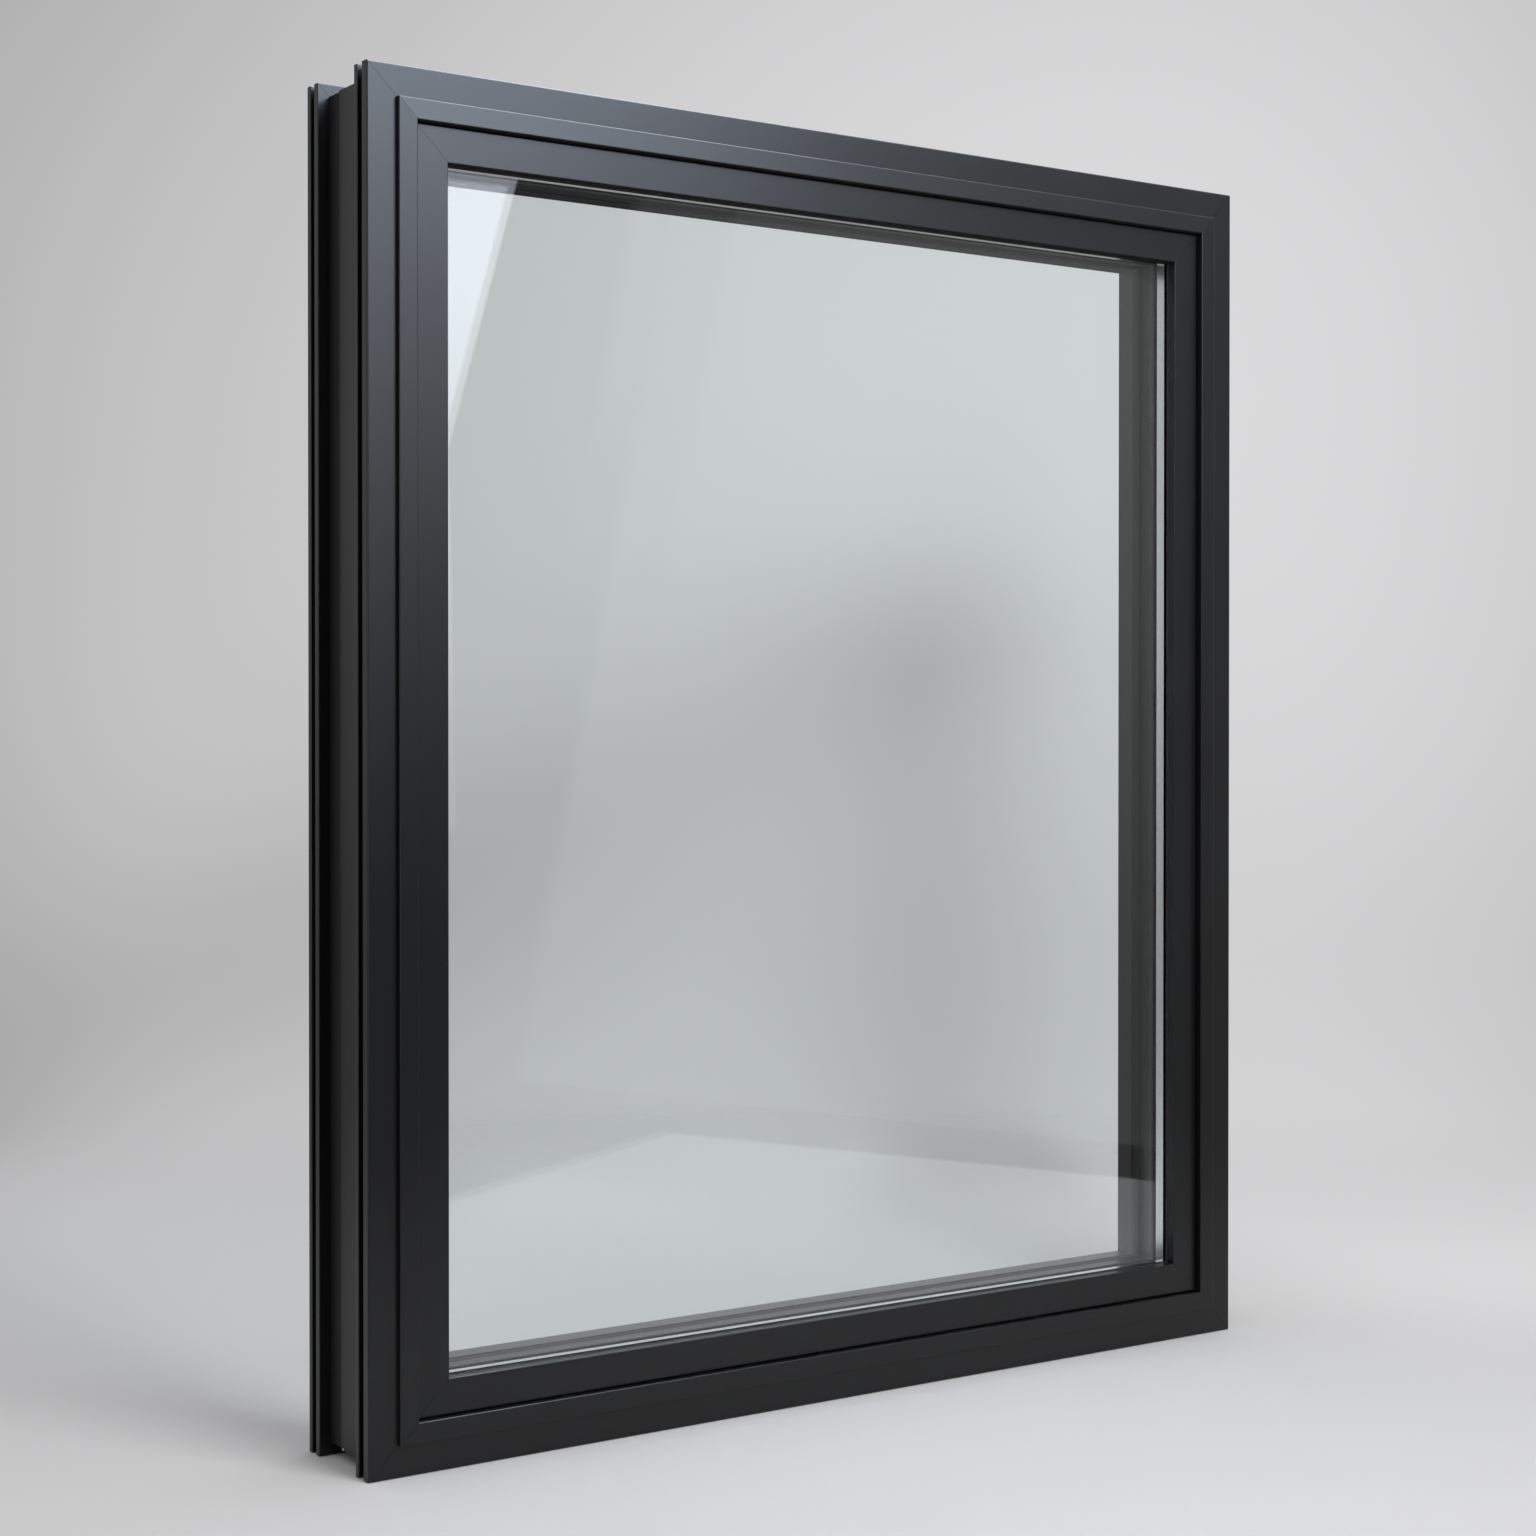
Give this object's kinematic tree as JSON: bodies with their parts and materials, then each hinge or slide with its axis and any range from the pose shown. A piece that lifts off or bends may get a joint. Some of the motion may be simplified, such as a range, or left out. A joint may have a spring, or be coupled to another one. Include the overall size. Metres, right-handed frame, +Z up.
{
  "type": "fixed picture window",
  "caption": "Fixed picture window: black aluminium frame with a thermal break, raised fixed sash, glazing beads and a double-glazed unit; a fixing channel runs round its edge.",
  "frame": {"origin": "under the middle of the window, on the plane of the flanges' lower edges, at half the full depth", "axes": "+Z up, +X to the right as seen from the front, +Y from the glazed front towards the back"},
  "size_m": [1, 0.125, 1.2],
  "materials": {
    "black_coated_aluminium": "satin",
    "black_polyamide": "matte",
    "black_gasket": "matte",
    "spacer_aluminium": "satin",
    "clear_glass": "polished",
    "edge_sealant": "matte",
    "setting_block": "matte"
  },
  "bodies": {
    "root": {"head_frame_front": "black_coated_aluminium", "sill_frame_front": "black_coated_aluminium", "left_jamb_frame_front": "black_coated_aluminium", "right_jamb_frame_front": "black_coated_aluminium", "head_frame_rear": "black_coated_aluminium", "sill_frame_rear": "black_coated_aluminium", "left_jamb_frame_rear": "black_coated_aluminium", "right_jamb_frame_rear": "black_coated_aluminium", "head_sash_front": "black_coated_aluminium", "sill_sash_front": "black_coated_aluminium", "left_jamb_sash_front": "black_coated_aluminium", "right_jamb_sash_front": "black_coated_aluminium", "head_sash_rear": "black_coated_aluminium", "sill_sash_rear": "black_coated_aluminium", "left_jamb_sash_rear": "black_coated_aluminium", "right_jamb_sash_rear": "black_coated_aluminium", "head_glazing_bead": "black_coated_aluminium", "sill_glazing_bead": "black_coated_aluminium", "left_jamb_glazing_bead": "black_coated_aluminium", "right_jamb_glazing_bead": "black_coated_aluminium", "head_frame_thermal_break": "black_polyamide", "sill_frame_thermal_break": "black_polyamide", "left_jamb_frame_thermal_break": "black_polyamide", "right_jamb_frame_thermal_break": "black_polyamide", "head_sash_thermal_break": "black_polyamide", "sill_sash_thermal_break": "black_polyamide", "left_jamb_sash_thermal_break": "black_polyamide", "right_jamb_sash_thermal_break": "black_polyamide", "head_front_gasket": "black_gasket", "sill_front_gasket": "black_gasket", "left_jamb_front_gasket": "black_gasket", "right_jamb_front_gasket": "black_gasket", "head_rear_gasket": "black_gasket", "sill_rear_gasket": "black_gasket", "left_jamb_rear_gasket": "black_gasket", "right_jamb_rear_gasket": "black_gasket", "head_glass_spacer": "spacer_aluminium", "sill_glass_spacer": "spacer_aluminium", "left_jamb_glass_spacer": "spacer_aluminium", "right_jamb_glass_spacer": "spacer_aluminium", "front_pane": "clear_glass", "rear_pane": "clear_glass", "edge_seal": "edge_sealant", "left_setting_block": "setting_block", "right_setting_block": "setting_block"}
  },
  "joints": []
}
